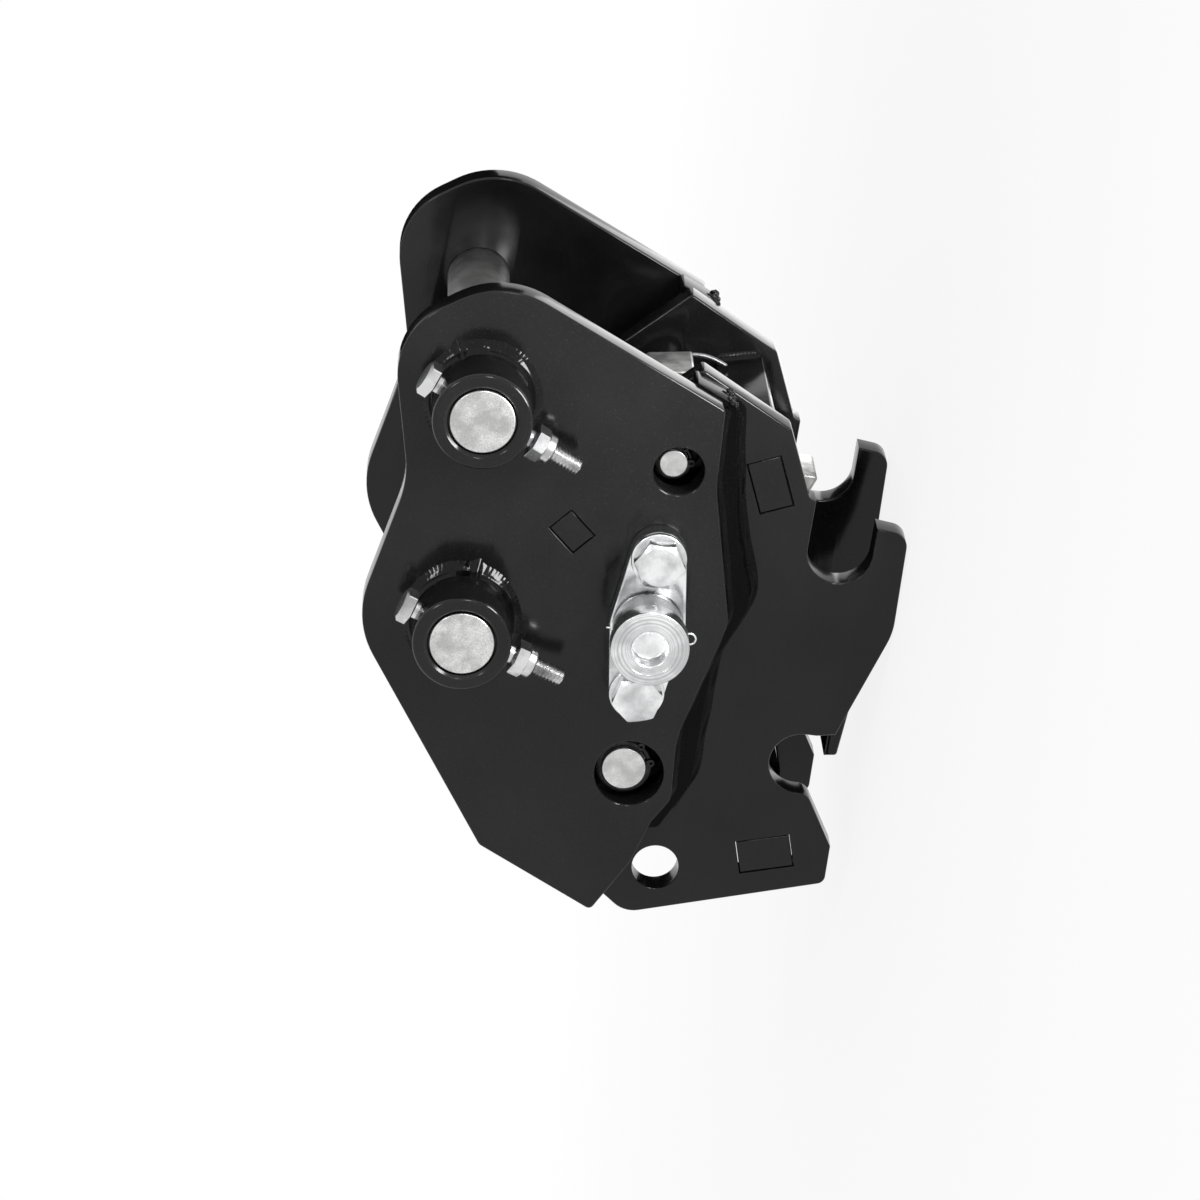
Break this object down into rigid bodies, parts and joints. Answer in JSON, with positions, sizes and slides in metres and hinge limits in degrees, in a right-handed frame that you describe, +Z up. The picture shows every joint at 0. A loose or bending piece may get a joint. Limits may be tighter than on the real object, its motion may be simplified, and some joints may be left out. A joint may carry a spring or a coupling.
{
  "type": "quick coupler",
  "caption": "Semi-automatic quick coupler: side plates on carrier pins, hook plates for bucket pins, a sprung front lock, a cam-opened rear latch and a lift eye.",
  "frame": {"origin": "on the stick pin's axis, midway between the side plates", "axes": "+X to the front, where the open hook is; +Y along the pins, away from the release hub; +Z up, away from the hooks' mouths"},
  "size_m": [0.3638, 0.267, 0.2909],
  "materials": {
    "black_paint": "gloss black paint on cut and welded steel plate",
    "pin_steel": "zinc-plated pin steel, dull and grainy on the ends",
    "zinc_plate": "bright zinc plate",
    "spring_steel": "oiled spring steel",
    "black_sleeve": "satin black steel tube",
    "bronze": "plain bearing bronze"
  },
  "bodies": {
    "frame": {"bearing_flange": "zinc_plate", "boss_welds": "black_paint", "centre_bar": "black_paint", "cross_bolt_nuts": "zinc_plate", "far_hook_plate": "black_paint", "far_latch_boss": "black_paint", "far_link_boss": "black_paint", "far_lock_boss": "black_paint", "far_shaft_bush": "bronze", "far_side_plate": "black_paint", "far_spacer_bar": "black_paint", "far_stick_boss": "black_paint", "flange_bolts": "zinc_plate", "flange_washers": "zinc_plate", "latch_pin": "pin_steel", "latch_pin_circlips": "spring_steel", "latch_spring": "spring_steel", "link_pin": "pin_steel", "link_pin_bolt": "zinc_plate", "lock_pin": "pin_steel", "lock_pin_circlips": "spring_steel", "lock_sleeves": "black_sleeve", "lock_spring": "spring_steel", "near_hook_plate": "black_paint", "near_latch_boss": "black_paint", "near_link_boss": "black_paint", "near_lock_boss": "black_paint", "near_side_plate": "black_paint", "near_spacer_bar": "black_paint", "near_stick_boss": "black_paint", "nose_bar": "black_paint", "nose_shelf": "black_paint", "rear_bar": "black_paint", "shaft_sleeve": "black_sleeve", "stick_pin": "pin_steel", "stick_pin_bolt": "zinc_plate"},
    "release": {"release_shaft": "pin_steel", "release_cam": "black_paint", "cam_pin": "pin_steel", "release_hub": "zinc_plate", "split_pin": "zinc_plate", "shaft_circlip": "spring_steel"},
    "latch": {"latch_hook": "black_paint"},
    "lock": {"front_lock": "zinc_plate"}
  },
  "joints": [
    {"name": "release_turn", "type": "hinge", "parent": "frame", "child": "release", "pos_m": [-0.1118, 0, -0.1055], "axis": [0, 1, 0], "range_deg": [0, 30], "stiffness_Nm_per_rad": 2, "springref_deg": -22.92, "deforming": ["latch_spring"]},
    {"name": "latch_swing", "type": "hinge", "parent": "frame", "child": "latch", "pos_m": [-0.2047, 0, -0.1076], "axis": [0, 1, 0], "range_deg": [-30, 0]},
    {"name": "lock_swing", "type": "hinge", "parent": "frame", "child": "lock", "pos_m": [-0.0265, 0, -0.1071], "axis": [0, 1, 0], "range_deg": [0, 28], "stiffness_Nm_per_rad": 1.2, "springref_deg": -22.92, "deforming": ["lock_spring"]}
  ],
  "couplings": [
    {"joint": "latch_swing", "follows": "release_turn", "ratio": -1}
  ]
}
